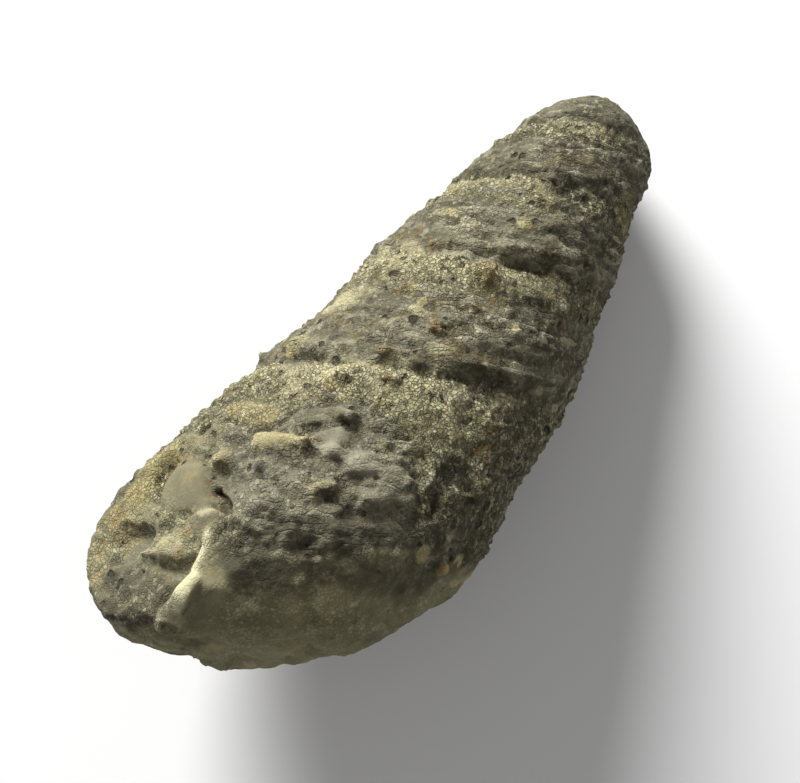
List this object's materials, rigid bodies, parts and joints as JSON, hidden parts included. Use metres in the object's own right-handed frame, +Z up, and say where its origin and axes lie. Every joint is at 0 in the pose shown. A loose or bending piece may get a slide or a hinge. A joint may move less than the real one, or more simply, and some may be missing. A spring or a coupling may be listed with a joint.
{
  "type": "gastropod fossil",
  "caption": "Stone internal mould of a high-spired sea snail, lying on its side, with its blunt tip worn and its base and lip broken.",
  "frame": {"origin": "under the middle of the box, on the plane that the fossil rests on", "axes": "+X along the fossil towards its narrow tip, +Y towards the side where the broken mouth was, +Z up"},
  "size_m": [0.0652, 0.0294, 0.0316],
  "materials": {
    "fossil_stone": "rough, matt, sandy"
  },
  "bodies": {
    "root": {"fossil_shell": "fossil_stone"}
  },
  "joints": []
}
